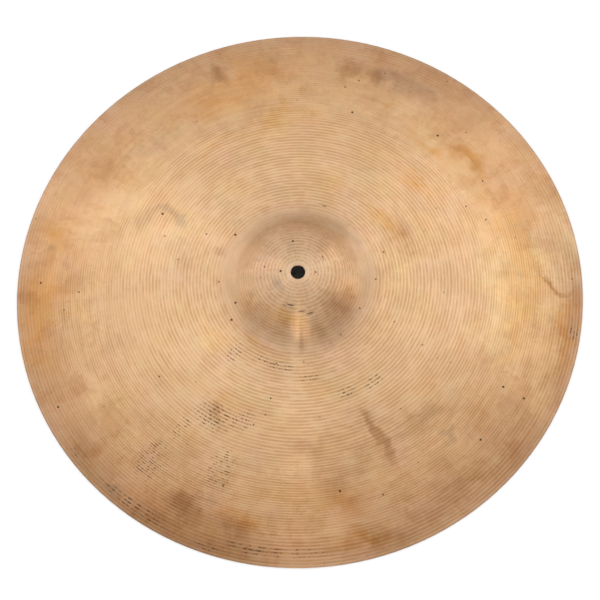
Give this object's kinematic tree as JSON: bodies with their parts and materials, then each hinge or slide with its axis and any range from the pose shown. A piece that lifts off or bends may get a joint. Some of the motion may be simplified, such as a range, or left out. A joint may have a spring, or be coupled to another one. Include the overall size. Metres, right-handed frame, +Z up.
{
  "type": "crash cymbal",
  "caption": "Round bronze crash cymbal with a domed bell, a shallow grooved bow, a thin rounded edge and a centre hole for a stand.",
  "frame": {"origin": "centre of the circle that the edge rests on, when the cymbal lies bell up on a flat surface", "axes": "+Z up through the middle of the bell and the hole; the cymbal is round about Z, so X and Y are free"},
  "size_m": [0.4572, 0.4572, 0.0377],
  "materials": {
    "bronze": "traditional lathed bronze with fine tone grooves, aged to a dull tan with brown patina towards the edge"
  },
  "bodies": {
    "root": {"cymbal": "bronze"}
  },
  "joints": []
}
